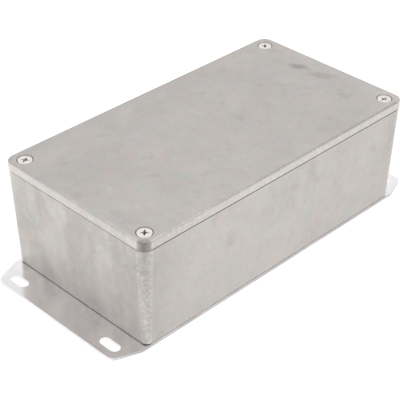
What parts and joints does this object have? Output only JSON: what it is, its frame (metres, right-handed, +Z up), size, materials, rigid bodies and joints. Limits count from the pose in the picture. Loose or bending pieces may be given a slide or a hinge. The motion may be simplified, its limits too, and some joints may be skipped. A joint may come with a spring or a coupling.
{
  "type": "die cast aluminium box",
  "caption": "Rectangular die-cast metal enclosure with a screwed lid and a flanged, slotted mounting plate under its base.",
  "frame": {"origin": "centre of the mounting plate's underside, which is the plane the box stands on", "axes": "+X across the box, +Y along it and along its tabs, +Z up out of the base towards the lid"},
  "size_m": [0.082, 0.1776, 0.0512],
  "materials": {
    "cast_aluminium": "as cast, tumbled",
    "sheet_metal": "mill-finished sheet",
    "plated_screw": "nickel-plated steel",
    "rivet_metal": "plain drawn",
    "mandrel_steel": "plain drawn"
  },
  "bodies": {
    "box": {"base": "cast_aluminium", "mounting_plate": "sheet_metal", "rivet_front_left": "rivet_metal", "rivet_front_right": "rivet_metal", "rivet_back_left": "rivet_metal", "rivet_back_right": "rivet_metal", "mandrel_front_left": "mandrel_steel", "mandrel_front_right": "mandrel_steel", "mandrel_back_left": "mandrel_steel", "mandrel_back_right": "mandrel_steel"},
    "lid": {"lid": "cast_aluminium"},
    "screw_front_left": {"lid_screw_front_left": "plated_screw"},
    "screw_front_right": {"lid_screw_front_right": "plated_screw"},
    "screw_back_left": {"lid_screw_back_left": "plated_screw"},
    "screw_back_right": {"lid_screw_back_right": "plated_screw"}
  },
  "joints": [
    {"name": "lid_lift", "type": "slide", "parent": "box", "child": "lid", "axis": [0, 0, 1], "range_m": [0, 0.06]},
    {"name": "screw_front_left_out", "type": "slide", "parent": "lid", "child": "screw_front_left", "axis": [0, 0, 1], "range_m": [0, 0.0095]},
    {"name": "screw_front_right_out", "type": "slide", "parent": "lid", "child": "screw_front_right", "axis": [0, 0, 1], "range_m": [0, 0.0095]},
    {"name": "screw_back_left_out", "type": "slide", "parent": "lid", "child": "screw_back_left", "axis": [0, 0, 1], "range_m": [0, 0.0095]},
    {"name": "screw_back_right_out", "type": "slide", "parent": "lid", "child": "screw_back_right", "axis": [0, 0, 1], "range_m": [0, 0.0095]}
  ]
}
